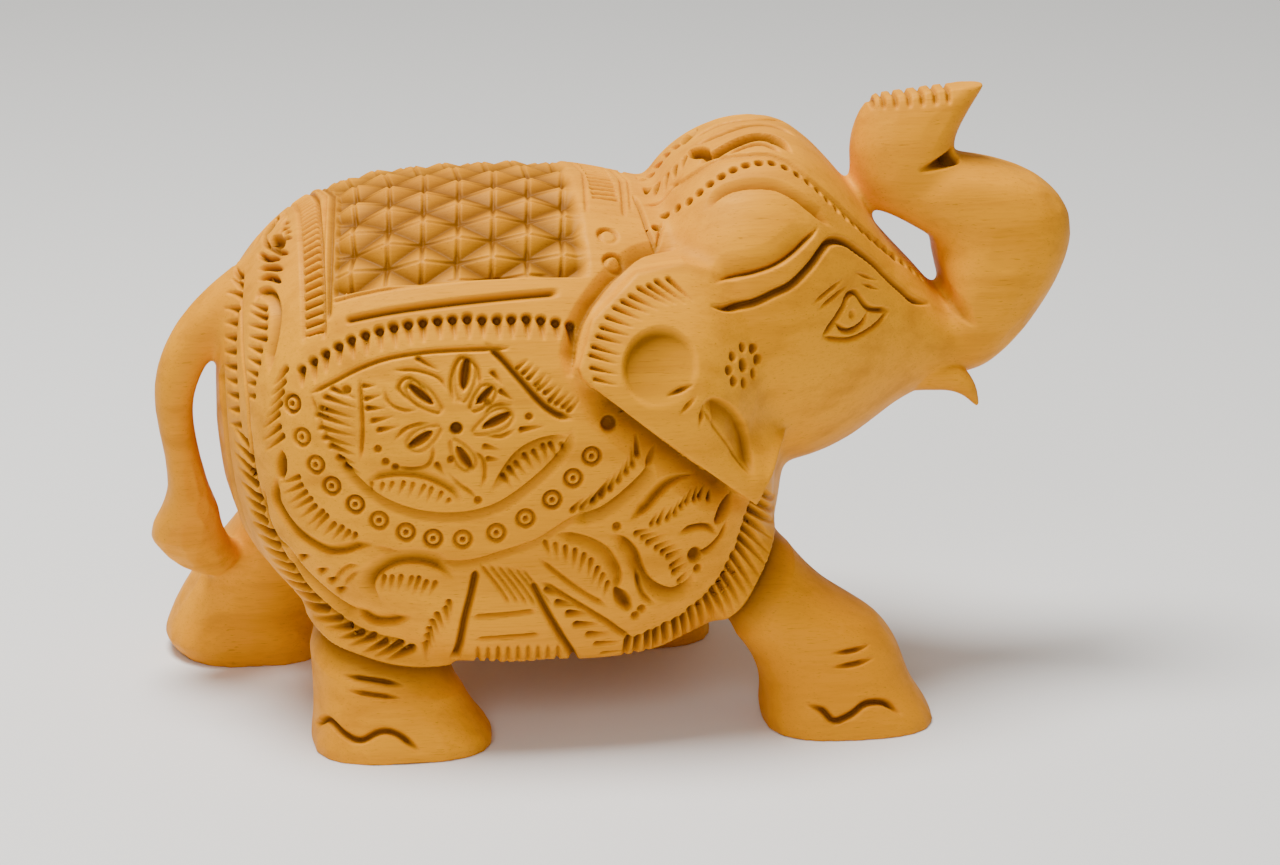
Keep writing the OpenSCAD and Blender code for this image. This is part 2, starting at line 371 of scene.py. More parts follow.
    def ring(self, at, radius=1.3, width=1.0, depth=0.75):
        """A ring punch with a drilled dot in the middle."""
        centre = self.lift([at])
        which = self.near(centre, radius + width)
        distance = np.linalg.norm(self.side[which] - centre, axis=1)
        groove = np.clip(1 - np.abs(distance - radius) / (width / 2), 0, 1)
        self.lower(self.cut, which, -self.depth_of(depth) * groove)
        self.hole(at, 0.5, 0.9)

    def crescent(self, at, radius, depth):
        """A half-moon punch, deepest at its top."""
        centre = self.lift([at])
        which = self.near(centre, radius + 0.6)
        off = self.side[which] - centre
        distance = np.linalg.norm(off, axis=1)
        upper = 0.25 + 0.75 * ramp(off[:, 2] / np.maximum(distance, 0.1), -0.5, 0.6)
        self.lower(self.cut, which, -depth * upper * np.clip(1 - np.abs(distance - radius) / 0.5, 0, 1))

    def petal(self, start, end, width=2.2, depth=0.8, seen_from="side"):
        """A spoon-shaped hollow, widest near its far end."""
        line = self.lift(np.linspace(start, end, 6), seen_from)
        which, distance, _, place, length = self.measure(line, width)
        share = place / length
        half = width / 2 * np.sqrt(np.clip(1 - (2 * share - 1.1) ** 2 / 1.25, 0.05, 1))
        self.lower(self.hollow, which, -self.depth_of(depth) * np.clip(1 - (distance / half) ** 2, 0, 1))

    def bowl(self, at, radius, depth, rise, wall=0.8):
        """A round hollow whose flat floor comes up to the surface in the direction of rise."""
        centre = self.lift([at])
        which = self.near(centre, radius)
        off = self.side[which] - centre
        distance = np.linalg.norm(off[:, [0, 2]], axis=1)
        tilt = 0.5 - off[:, [0, 2]] @ (np.array(rise) / math.hypot(*rise)) / (2 * radius)
        inside = (distance < radius) & (np.abs(off[:, 1]) < radius)
        floor = self.depth_of(depth) * tilt * np.clip((radius - distance) / wall, 0, 1)
        self.lower(self.hollow, which[inside], -floor[inside])

    def outline(self, start, end, width):
        """A cut round a petal, which leaves it standing."""
        way = np.subtract(end, start)
        across = np.array([-way[1], way[0]]) / np.linalg.norm(way) * width / 2
        path = [start + way * (0.5 - 0.62 * math.cos(t)) + across * math.sin(t) * (0.75 - 0.3 * math.cos(t))
                for t in np.linspace(0, 2 * math.pi, 13)]
        self.groove(path, 0.9, 0.4, 0.5)

    def facet(self, index, depth, reach=4):
        """A flat cut across a rounded place. Hollow places are left alone."""
        centre, normal = self.points[index], self.normals[index]
        first, last = np.searchsorted(self.side[:, 0], [centre[0] - reach, centre[0] + reach])
        at = self.order[first:last]
        off = self.points[at] - centre
        distance = np.linalg.norm(off, axis=1)
        close = distance < reach
        over = off[close] @ normal
        if over.max() > 0.06:
            return
        above = (over + depth) * (1 - ramp(distance[close], reach - 1, reach))
        self.hollow[at[close]] = np.minimum(self.hollow[at[close]], -np.maximum(above, 0))

    def carved(self):
        """The points moved in along the normals, and how deep each lies, which the wood turns into painted
        shade in the cuts.
        """
        moved = self.points + self.normals * (self.hollow + self.cut)[:, None]
        # The painted shade counts the marks in full and the broad slopes at 0.7.
        return moved, self.cut + 0.7 * self.hollow


HEM = [
    (-64.6, 60), (-64.4, 50), (-63.6, 42), (-62.3, 36), (-60.4, 31), (-57.5, 26.5), (-54, 22.3), (-50, 19),
    (-45, 17.3), (-40, 15.8), (-34, 14.6), (-28, 13.6), (-20, 12.9), (-10, 12.8), (0, 13.1), (6, 14.2),
    (10.5, 16), (14.3, 18.8), (17.3, 22.4), (20.2, 26.4), (23, 30.2), (25.2, 34), (26.4, 38.5),
]


def carve_hem(c):
    """Lowers what lies outside the hem, so that the cloth ends in a crisp edge."""
    c.scoop(HEM, side=-1, reach=5, depth=1.1, taper=0.1, wall=0.3)


def carve_medallion(c):
    """The panel in the middle of the flank: its frame, the flower, and the leaves in its corners."""
    c.scoop([(-48.6, 52.8), (-46, 49.3), (-42, 45.7), (-37, 43.5), (-32, 42.7), (-27, 43), (-22.5, 44.5),
             (-17.5, 48), (-13.4, 52), (-11, 56)], side=-1, reach=1.8, depth=0.7)
    c.groove([(-52.2, 61.7), (-48.6, 63.9), (-44.7, 66.1), (-40.2, 67.8), (-34.7, 68.7), (-29, 69),
              (-21, 69)], 1.1, 0.6)
    c.groove([(-24.4, 69.7), (-21.9, 67.2), (-19.1, 63.9), (-16.3, 60.6), (-13.8, 58.6), (-11.3, 57.8)],
             1.6, 1.0)
    c.groove([(-52.2, 61.7), (-50.5, 56.5), (-48.6, 52.8)], 0.8, 0.4)
    # The flower: six petals about a drilled centre, with curls and ticks round it.
    c.hole((-29.7, 56.9), 1.1, 1.6)
    for start, end, width in [
        ((-28.6, 61.6), (-27.7, 67.2), 2.6), ((-32.4, 60), (-36.6, 63.6), 2.3),
        ((-32.6, 57), (-36.8, 54.2), 2.3), ((-30.2, 54.8), (-27.6, 50.6), 2.2),
        ((-26.6, 56.4), (-21.4, 58.8), 2.3), ((-27, 60), (-24, 63), 1.9),
    ]:
        way = np.subtract(end, start)
        c.petal(start + 0.25 * way, end, 0.8 * width, 1.2)
        c.outline(start, end, width + 1.7)
    for path in [
        [(-30, 61), (-30.3, 64.5), (-28.6, 67.9), (-26.2, 66.4), (-25.6, 63)],
        [(-33.4, 62.4), (-36.8, 65), (-38.6, 63.4), (-36.4, 61.2), (-34, 59.8)],
        [(-39.4, 55.2), (-37.8, 56.9), (-35.5, 57.7), (-33.6, 57.9)],
        [(-39.4, 50.6), (-36.9, 50.2), (-34.4, 50.9), (-33.5, 52.5), (-33.4, 54.6)],
        [(-30.9, 49.5), (-29.4, 47.7), (-27.6, 46.3), (-26.4, 45)],
        [(-27.3, 53.4), (-25.5, 51.6), (-25.3, 48.8), (-25.9, 47)],
        [(-40.8, 63.3), (-40.2, 61.1), (-38, 60), (-35.8, 60)],
        [(-39.1, 66.1), (-35.8, 66.1), (-32.4, 65), (-31, 63)],
        [(-25.6, 58.6), (-23.4, 60.4), (-20.6, 60.4)],
        [(-25.2, 55.6), (-22.6, 55.4), (-20.2, 56.6)],
    ]:
        c.groove(path, 0.9, 0.55)
    for start, end in [
        ((-44, 63.6), (-42.2, 63.9)), ((-43.8, 61.7), (-41.3, 62.2)), ((-43.5, 60), (-40.8, 60.3)),
        ((-42.7, 58.3), (-39.4, 58.9)), ((-41.9, 56.7), (-38.6, 57.2)), ((-35.2, 67.8), (-32.4, 66.1)),
        ((-32.8, 50.9), (-31.9, 49.3)), ((-25.1, 53.8), (-22.6, 53.3)), ((-24.8, 51.6), (-22.8, 51.7)),
        ((-19.1, 56.4), (-15.8, 56.7)), ((-22.4, 62.6), (-20.6, 60.9)), ((-23.6, 65.4), (-22.2, 63.6)),
    ]:
        c.tick(start, end, 1.2, 0.75)
    for at in [(-42.1, 53.6), (-40.9, 51.5), (-39.4, 50.6), (-26.4, 44.9), (-18.1, 58.4), (-30.6, 51.8),
               (-24.6, 60.8)]:
        c.hole(at, 0.7, 0.9)
    # The leaves in its corners.
    c.groove([(-44.6, 64.5), (-44.4, 60), (-44.4, 56), (-44.8, 51.6)], 0.9, 0.6)
    c.hatch([(-48.8, 62.6), (-50.4, 60.5), (-51.2, 58.2), (-50.4, 55.4), (-48.6, 52.6), (-47.2, 50.6)],
            [(-45.4, 61.6), (-45.4, 59.2), (-45.6, 56.6), (-45.6, 53.8), (-45.6, 51.6), (-45, 49.6)], 9,
            1.3, 0.8)
    c.scoop([(-44.3, 48.1), (-40.1, 49.1), (-36.6, 49.1), (-33.4, 48.1), (-30.5, 46.3), (-29.1, 44.5)],
            side=1, reach=1.8)
    c.hatch([(-43, 47.6), (-39.8, 48), (-36.2, 47.8), (-33, 46.8), (-31, 45.2)],
            [(-43.4, 46.4), (-40.4, 46.2), (-36.8, 45.6), (-33.4, 44.8), (-31.4, 44.4)], 9, 1.0, 0.6)
    c.scoop([(-24.2, 46.5), (-22, 50.2), (-19.9, 52.7), (-17, 54.3), (-14.1, 54.9), (-11.8, 54.9)],
            side=-1, reach=2)
    c.hatch([(-22.3, 48.6), (-20.4, 50.6), (-18, 52.4), (-15.2, 53.4), (-13, 53.6)],
            [(-20.8, 46.6), (-18.6, 48.4), (-16.4, 50), (-14.2, 51.4), (-12.4, 52.2)], 8, 1.1, 0.7)
    c.hatch([(-19.6, 66), (-17, 63.4), (-14.4, 61), (-11.6, 58.9)],
            [(-18, 67.3), (-15.3, 64.9), (-12.7, 62.6), (-10, 60.4)], 10, 1.1, 0.7)


def carve_punched_bands(c):
    """The notched arch over the medallion and the ring punches round it."""
    arch = [(-53.4, 65), (-50.2, 67.5), (-45.6, 70.3), (-40.4, 71.9), (-35.4, 72.9), (-28.7, 73.4),
            (-22.4, 73.1), (-17.3, 73.1), (-10.9, 71.9)]
    for x, z in spaced(arch, 20):
        c.hole((x, z), 0.85, 1.5)
        c.tick((x, z), (x + 0.15, z - 2.6), 1.8, 1.0)
    for at in [
        (-55.1, 59.6), (-53.8, 54.5), (-51.8, 50.2), (-49.4, 46.9), (-45.8, 44.1), (-42.1, 41.6),
        (-37.9, 39.7), (-33.6, 38.6), (-28.9, 38.4), (-23.5, 39.3), (-18.8, 41.5), (-14.5, 44.4),
        (-11.1, 47.8), (-8.1, 51.3),
    ]:
        c.ring(at)
    c.hole((-5.3, 56.4), 1.4, 1.3)
    c.hole((-46.7, 62.8), 0.9, 0.9)
    c.scoop([(-43, 37.4), (-40, 36.5), (-37, 35.6), (-32.3, 34.7), (-27.6, 34.7), (-23.4, 35.8),
             (-18, 37.4), (-15.9, 38.4), (-12.4, 40.6), (-8.8, 42.7), (-4.9, 48)], side=-1, reach=1.2,
             depth=0.5)


def carve_rear_scrolls(c):
    """The scrolls and the paisley between the punches and the hem, behind the centre panel."""
    c.petal((-56.8, 51.4), (-57, 47.4), 2.4, 1.1)
    c.scoop([(-57.8, 47), (-58.2, 43.4), (-57.3, 40.9), (-55.5, 38.4), (-53, 36.5), (-50.1, 35.4),
             (-47.3, 35.8), (-45.1, 36.8), (-43, 37.6)], side=1, reach=1.8, depth=0.9)
    c.hatch([(-54.6, 47.6), (-53.4, 45.4), (-51.8, 43.2), (-49.8, 41.2), (-47.6, 39.8), (-45.7, 39)],
            [(-56.9, 46.2), (-56, 43.4), (-54.2, 40.8), (-51.8, 38.8), (-49.2, 37.8), (-46.4, 38)], 11,
            1.2, 0.75)
    c.scoop([(-56, 34.9), (-53.7, 31.6), (-49.7, 27.8), (-46.6, 25.7), (-44.6, 24.2)], side=-1, reach=2.4,
            depth=1.0)
    c.scoop([(-46.6, 25.7), (-43.5, 23.4), (-41.6, 23), (-39.4, 23.4), (-37, 24.9)], side=1, reach=2.2,
            depth=1.0)
    c.groove([(-59.6, 44), (-59, 39.4), (-57.6, 36), (-56, 34.9)], 1.0, 0.6)
    for at in [(-54.1, 33.4), (-51.2, 31.6), (-49.6, 30.2), (-48.4, 28.8)]:
        c.tick(at, (at[0] + 1.4, at[1] + 0.9), 1.3, 0.8)
    c.scoop([(-42, 27.6), (-43.1, 29.9), (-42.8, 31.4), (-41.7, 32.8), (-39.5, 34.1), (-37.3, 34.5),
             (-34.8, 34.3), (-32.2, 33.1), (-30.4, 31.7)], side=1, reach=2.8, depth=1.1, taper=4)
    c.hatch([(-41.4, 31.8), (-37.8, 32), (-35.2, 31.4), (-33.2, 31.2)],
            [(-41.6, 29.6), (-38, 29.8), (-36.2, 29), (-34.2, 28.8)], 7, 1.1, 0.7)
    c.groove([(-49.1, 29.8), (-48.5, 31.6), (-47, 33.3), (-45.1, 33.8)], 0.9, 0.5)
    c.groove([(-47.6, 29.3), (-47, 30.9), (-45.1, 33)], 0.9, 0.5)
    c.hatch([(-31.3, 27.7), (-31.9, 26.2), (-33.2, 25.1), (-34, 23.2), (-34.6, 19.5)],
            [(-30.8, 25.5), (-31.3, 23.3), (-32.6, 21.3), (-33.4, 19.5), (-34.3, 16.4)], 7, 1.3, 0.8)


def carve_centre_panel(c):
    """The panel that widens to the hem, with its bars, slanting lines and fringe."""
    left = [(-26.8, 33.1), (-27.6, 29.1), (-28.7, 24.1), (-29.4, 19.1), (-30, 15.9)]
    right = [(-17.9, 30.6), (-15.6, 25.6), (-13.1, 20.6), (-10.9, 16.3), (-10, 13.4)]
    for path in (left, right):
        c.groove(path, 1.6, 1.0, 1.0)
    for path in ([(-27.3, 24.9), (-22, 25.1), (-17.2, 25.5)], [(-26.6, 20.6), (-21, 20.8), (-16.4, 21)]):
        c.groove(path, 1.0, 0.6, 1.0)
    for x in (-25.6, -24.2, -22.8, -21.4, -20, -18.9):
        top = min(34.2, 34.5 - 0.2 * (x + 26))
        c.groove([(x - 0.6, top), (x + 2.4, top - 4.2), (x + 4.2, max(26.4, top - 7.2))], 0.8, 0.5, 1.2)
    for x in np.linspace(-26.4, -13.4, 9):
        c.groove([(x, 19.2 - 0.03 * (x + 26)), (x + 0.2, 16.6), (x + 0.3, 14)], 0.9, 0.55, 1.5)


def carve_front_leaves(c):
    """The leaf, the slashes and the large paisley between the centre panel and the chest."""
    c.scoop([(-14.3, 38.7), (-11.3, 38.4), (-8.4, 37.4), (-5.9, 35.8), (-4.5, 33.8), (-3.6, 31.6),
             (-3.6, 29.9), (-4.7, 27.2)], side=-1, reach=2.2, depth=0.9)
    c.groove([(-16.6, 34.5), (-13, 31.2), (-9.4, 28.2), (-5.6, 25.6)], 1.0, 0.6)
    c.petal((-4.2, 28.4), (-2.2, 25.2), 2.6, 1.1)
    c.hatch([(-15.7, 37.4), (-12.9, 36.6), (-9.7, 35.2), (-7.2, 32.6), (-5.6, 29.5)],
            [(-14.9, 34.9), (-12, 33.4), (-9.4, 31.4), (-7.6, 29.4), (-6.2, 27.6)], 9, 1.1, 0.7)
    c.groove([(-16.3, 30.6), (-9.9, 25.9), (-5.9, 22.9), (-3.4, 20.6), (-1.3, 18.8)], 1.2, 0.7)
    c.hatch([(-15.2, 29), (-12.5, 25.4), (-9.6, 21.8), (-7, 18.3), (-5.6, 15.8)],
            [(-12.4, 28), (-9, 25), (-6, 21), (-3.2, 18.2), (-2.2, 16)], 7, 1.5, 0.9)
    c.scoop([(-12, 40.9), (-9.5, 41.5), (-6.6, 42.5), (-4.1, 44.1), (-2, 45.8), (-0.2, 47.4), (0.9, 48.8),
             (1.8, 50.9)], side=-1, reach=2.4, depth=0.9)
    c.petal((0.9, 49), (2.6, 52.4), 2, 1.1)
    c.hatch([(-11.3, 42.4), (-8, 43.6), (-5, 45.6), (-2.4, 48.2), (-0.6, 51)],
            [(-8.9, 44.9), (-5.8, 46.6), (-3.6, 49), (-1.8, 51.6), (-0.8, 54)], 9, 1.3, 0.8)
    c.scoop([(-4.9, 38.1), (-2.7, 37), (-0.9, 34.9), (0.1, 32), (1.2, 29.9), (3, 28.3), (5.1, 27.5),
             (7.6, 28.4), (8.7, 29.7)], side=-1, reach=2.4, depth=1.0)
    c.groove([(-0.9, 31.6), (-0.2, 28.1), (0.9, 26.3), (2.3, 25.2)], 1.1, 0.7)
    c.scoop([(-2, 40.2), (0.9, 41.8), (3, 44.1), (5.1, 45.7), (8.2, 46.4), (10.6, 46), (12.8, 44.6),
             (14.4, 42.8), (15.4, 41.2)], side=1, reach=2.2, depth=1.0)
    c.petal((15.4, 42), (12.8, 38.6), 2.6, 1.2)
    c.hole((8.9, 33.1), 1.4, 1.2)
    c.groove([(6.2, 37.2), (8.4, 37.9), (10.9, 37.7), (12.5, 36.3)], 1.2, 0.8)
    c.hatch([(1.6, 39.3), (4.4, 39.9), (6.6, 41.8), (9, 42.7), (11.4, 42.4)],
            [(2.8, 41.4), (5.4, 42.6), (7.4, 44), (9.4, 44.6), (12, 43.6)], 9, 1.0, 0.75)
    c.hatch([(-0.9, 38.1), (1.6, 35.8), (4.3, 33.4), (5.3, 30.6), (6.2, 29.1)],
            [(1.4, 38.7), (4, 36.8), (6.6, 34.6), (7.6, 32), (8, 30.6)], 9, 1.2, 0.75)
    for at in [(-4.1, 39.3), (0.1, 24.5), (-0.9, 23.4), (9.4, 30.6)]:
        c.hole(at, 0.8, 0.9)
    c.groove([(8.9, 33.1), (11, 33.6), (13.2, 35.4), (14.4, 38)], 1.1, 0.7)


def carve_borders(c):
    """The rope along the front of the hem and the slanted ticks along its rear."""
    inner = [(-1.6, 18.6), (3, 20), (6.6, 21.6), (9.4, 23.4), (11.9, 25.6), (14.1, 28.1), (15.5, 30.9),
             (16.9, 34.1), (18, 37.7), (19.6, 42)]
    outer = [(-2, 14.4), (2.4, 14.6), (7, 15.8), (11, 18), (14.6, 20.6), (17.4, 23.8), (20, 27), (22, 30),
             (23.4, 33), (24.4, 37)]
    c.groove(inner, 0.9, 0.55)
    c.hatch(inner, outer, 22, 1.7, 1.1)
    # Over the rump the border faces backwards, so that part of it is seen from behind.
    c.groove([(-2.9, 74.6), (-6.9, 72.4), (-12.1, 68.9), (-16.9, 63.6), (-20.3, 58), (-21.5, 52.5)], 1.0,
             0.6, seen_from="behind")
    c.hatch([(-3.6, 73.9), (-8, 71), (-10.7, 67.2), (-13.2, 63.6), (-15.6, 59), (-17.6, 53)],
            [(-0.8, 74.4), (-4, 71.8), (-6.2, 65.7), (-7.6, 61.1), (-10.4, 57.6), (-13, 52)], 12, 1.5,
            1.0, seen_from="behind")
    c.groove([(-61.4, 54), (-61, 48), (-60.2, 43.5), (-58.8, 38.6), (-57, 34), (-54.6, 30), (-52, 26.8),
              (-49, 24.1), (-45.6, 22), (-41.8, 20.6), (-37.6, 19.6)], 1.0, 0.6)
    c.hatch([(-62, 50.6), (-61, 44.5), (-59.4, 38.8), (-57.4, 33.8), (-54.8, 29.6), (-51.6, 26),
             (-47.4, 22.7), (-42.6, 20.4), (-37, 18.6)],
            [(-63.7, 51.6), (-63.2, 46), (-62, 40.4), (-60.4, 35.2), (-58.2, 30.4), (-55.2, 25.8),
             (-51.2, 21.9), (-46.4, 19), (-40.6, 16.9)], 22, 1.8, 1.1)


def carve_haunch(c):
    """The upright border over the rump, with its double row of ticks and a hook at its head."""
    c.scoop([(-59.6, 72.4), (-58.9, 73.8), (-57.7, 74.6), (-56.7, 74.4), (-56.2, 72.8), (-56.5, 70.4),
             (-57.2, 67.6), (-58.4, 63.6)], side=-1, reach=2, depth=1.1, wall=0.5)
    c.hatch([(-17, 72.2), (-19.8, 69), (-20.6, 66), (-21.2, 62.6), (-21.9, 59)],
            [(-12.8, 72), (-15.2, 69.1), (-17.4, 66.2), (-18.6, 62.7), (-19.4, 58.8)], 9, 1.3, 0.9,
            seen_from="behind")
    c.hatch([(-55.7, 64.6), (-56.6, 61), (-57.2, 57.6), (-56.8, 54)],
            [(-57.6, 61.8), (-58.4, 58.2), (-59.4, 54.8), (-59, 51.2)], 7, 1.3, 0.8)
    for path in (
        [(-58.3, -2.7), (-57.2, -7.4), (-55.3, -11.2)],
        [(-58.6, -7.8), (-57, -10.5), (-55.1, -14)],
        [(-58.8, -10.3), (-57.2, -12.5), (-55.6, -16)],
    ):
        c.groove(path, 1.3, 1.0, seen_from="above")
    c.petal((-54.6, -8.6), (-56, -2.4), 3, 1.3, seen_from="above")
    c.groove([(-57.1, 1), (-56.8, -3), (-55.4, -8.7), (-54, -11.7)], 1.2, 0.8, seen_from="above")
    c.hatch([(-54, -0.6), (-54.2, -3.4), (-54.2, -6.6)], [(-53, -2), (-53, -5), (-53, -8.1)], 4, 1.2, 0.9,
            seen_from="above")


def carve_head(c):
    """The row of dots and the headdress, the boss and folds of the brow, the eye and the cheek's flower."""
    dots = [(5.1, 82.9), (9.4, 85.9), (13.8, 89.5), (18.8, 92), (23.8, 92.6), (27.5, 91.3), (31.3, 88.4),
            (35, 84.5), (39.9, 79.9), (44.2, 75.7), (48.1, 72), (50.8, 69.5)]
    for at in spaced(dots, 27):
        c.hole(at, 0.75, 1.2)
    c.scoop([(12.9, 86.5), (15, 88.2), (17.5, 89.3), (20.8, 89.7), (24.2, 89.3), (27.1, 87.8),
             (29.2, 86.1), (30.8, 84.7), (32.9, 83)], side=1, reach=2, depth=0.9)
    c.scoop([(8.5, 87.4), (12, 90.2), (16.2, 92.6), (20, 93.4), (24, 93.5), (27.4, 92.2), (30.4, 89.8),
             (34.2, 86.2), (38.6, 81.6), (43, 77), (47.6, 72.4)], side=-1, reach=1.8, depth=0.4)
    # The headdress over the crown.
    c.scoop([(13.2, -8.8), (15.4, -8), (18.6, -7.1), (22.4, -6.2), (25.2, -6.8), (27, -8.4), (27.9, -11)],
            side=-1, reach=2.6, depth=1.2, seen_from="above")
    c.groove([(17.7, -10.6), (20.9, -9.8), (23.5, -9.8), (25.9, -11.8)], 1.1, 0.7, seen_from="above")
    c.groove([(14, -2), (18, -2.6), (22.4, -1.8), (26, -2), (29.4, -4)], 1.6, 1.0, seen_from="above")
    c.petal((12.6, -2.6), (14.4, -7.6), 3, 1.5, seen_from="above")
    c.hatch([(11.6, -3.6), (10.3, -4), (8.8, -3.8), (7.2, -3), (5.6, -2.9)],
            [(10.9, -6.4), (9.5, -7), (8, -6.9), (6.3, -6.2), (4.8, -5.6)], 5, 1.4, 1.1, seen_from="above")
    c.groove([(4.1, -10.3), (7.2, -9), (10.6, -8.4)], 0.9, 0.5, seen_from="above")
    c.groove([(2.6, -7), (3.1, -11.4), (3.6, -17.4), (4.5, -21.1)], 1.0, 0.6, seen_from="above")
    c.groove([(4.5, -21.1), (5.4, -18), (6.4, -15)], 0.8, 0.45, seen_from="above")
    c.scoop([(13, 76.6), (16, 77.3), (19.6, 77.8), (23.3, 78.8), (26.7, 80.5), (30.2, 82.8)], side=1,
            reach=4, depth=0.5)
    c.groove([(14, 76.8), (19.6, 77.8), (23.3, 78.8), (26.7, 80.5), (30.6, 83.2)], 1.0, 0.5)
    c.groove([(12.1, 73.6), (15, 72.8), (18.8, 73), (22.5, 74.3), (25.8, 75.5), (29.2, 78), (31.3, 79.9),
              (32.9, 80.8), (35.4, 80.1), (38.3, 77.8), (40.8, 75.5), (43.8, 72.2), (46.3, 69.7),
              (48.3, 67.8), (51.3, 66.3)], 1.7, 1.0, 5)
    # The eye: two lids round an almond, a curve and a dot in it, and short folds over it.
    c.groove([(31, 66), (33.1, 68.2), (34.8, 70.3), (35.6, 71.8), (37.1, 72), (38.3, 70.3), (40, 68.6),
              (43.5, 67.6)], 1.2, 0.9)
    c.groove([(31, 66), (33.6, 65.1), (36.6, 64.6), (40.4, 65.6), (43.5, 67.6)], 0.9, 0.6)
    c.groove([(33.3, 68), (34.6, 66.5), (36.3, 66), (38.3, 66.8), (39.4, 68.4)], 1.0, 0.8)
    c.hole((36.4, 68.6), 0.8, 0.5)
    for path in ([(29.2, 71.8), (34.6, 74.6)], [(30.2, 70.7), (35.4, 73.4)], [(37.3, 75), (41.3, 72.8)],
                 [(38.3, 73.1), (41.7, 71.3)]):
        c.groove(path, 0.8, 0.55, 2.5)
    flower, eighth = np.array([17.1, 63.8]), 0.785
    c.hole(flower, 1.3, 1.1)
    for turn in np.arange(8) * eighth:
        c.hole(flower + 2.7 * np.array([math.cos(turn), math.sin(turn)]), 0.95, 1.0)


def carve_ears(c):
    """The bowl, the leaf and the slashes in the ears, and the ground cut away round them."""
    c.bowl((2.9, 65.4), 6.3, 1.15, rise=(0.5, -1), wall=1)
    c.scoop([(9.4, 59), (11.4, 59.6), (14.2, 57.8), (16.4, 54.8), (17.6, 51.4), (17.7, 46.6)],
            side=-1, reach=4.6, depth=1, taper=3, wall=0.8)
    c.groove([(9.4, 59), (11.6, 55.4), (14.6, 51), (17.7, 46.6)], 0.8, 0.3)
    c.scoop([(-10.6, 64.2), (-4.8, 59.6), (4.2, 52), (13, 44.6), (18, 40.4)], side=-1, reach=5, depth=1.2,
            taper=8)
    c.scoop([(-10.6, 64), (-11, 66), (-8.2, 73.4), (-0.2, 79.6), (8, 80.6)], side=1, reach=2.4, depth=0.9,
            taper=4)
    for path in ([(4, 61.3), (7.9, 62.6)], [(5.8, 58.2), (8.5, 60.9)], [(9, 55.9), (9.8, 59.3)]):
        c.groove(path, 1.0, 0.7)
    c.hatch([(5, 78), (-0.4, 76.6), (-4.6, 73.8), (-7, 70.4), (-8.2, 67.2), (-7.6, 64.6)],
            [(9, 74.8), (4.6, 74.4), (0.4, 72.8), (-2.6, 70.2), (-4.2, 66.8), (-4.4, 63.4)], 14, 0.9, 0.75)


def carve_feet(c):
    """Two slits and a wavy gouge on the feet that stand forward."""
    for path in (
        [(-48, 14), (-43, 13.4), (-38.4, 12.5)], [(-47.3, 11.8), (-43, 11.2), (-38.7, 10.5)],
        [(31.7, 14.6), (35, 14.7), (38.1, 15.1)], [(31.7, 12.3), (35, 12.5), (38.7, 13)],
    ):
        c.groove(path, 1.2, 0.8, 3)
    c.groove([(-52.2, 4.4), (-50.6, 6.3), (-48.4, 4.9), (-45.7, 4.1), (-42.4, 5.5), (-39.6, 5),
              (-36.2, 2.2)], 1.5, 1.0, 3)
    c.groove([(27.6, 6), (29.9, 5.2), (31.8, 3.5), (34.7, 4.5), (37.2, 6), (40.4, 5.8), (43, 3.7)], 1.5,
             1.0, 3)


def carve_trunk(c):
    """Notches along the fan's upper edge, the crease at the trunk's root and the recess under the fan."""
    x, _, z = c.points.T
    for place in (42.8, 44.6, 46.6, 48.8, 51, 53.2, 55.4):
        foot, half_width, depth = 97.4 + 0.05 * (place - 42), 0.5, 0.9
        reach = np.clip(1 - np.abs(x - place) / half_width, 0, 1) * ramp(z, foot, foot + 1.2)
        c.cut = np.minimum(c.cut, -depth * reach)
    c.scoop([(53.5, 68.2), (55.2, 65.4), (57, 63.4), (59.4, 62)], side=1, reach=3, depth=0.6)
    c.tick((57.8, 90.2), (50.4, 88.2), 3, 2)


def carve_facets(c):
    """Flat knife cuts over the parts without a pattern."""
    x, y, z = c.points.T
    trunk, tail, feet, fan = x > 53, (x < -63) & (np.abs(y) < 14), z < 22, (x > 38) & (z > 84)
    for region, count, depth in ((trunk, 70, 0.16), (tail, 60, 0.2), (feet, 90, 0.16), (fan, 30, 0.1)):
        for index in c.chance.choice(np.nonzero(region)[0], count, replace=False):
            c.facet(index, depth)


# ---------------------------------------------------------------- the saddle, laid out round the barrel
AXIS = 50.5  # mm, height of the middle of the barrel
GIRTH = 37.0  # mm, the barrel's radius, for distances round it from the spine
LOWEST = 60  # mm, height under which the barrel carries none of this
ROW = 4.1  # mm between the rows of the saddle's lattice
COLUMN = 11.3  # mm between the crossings in one row


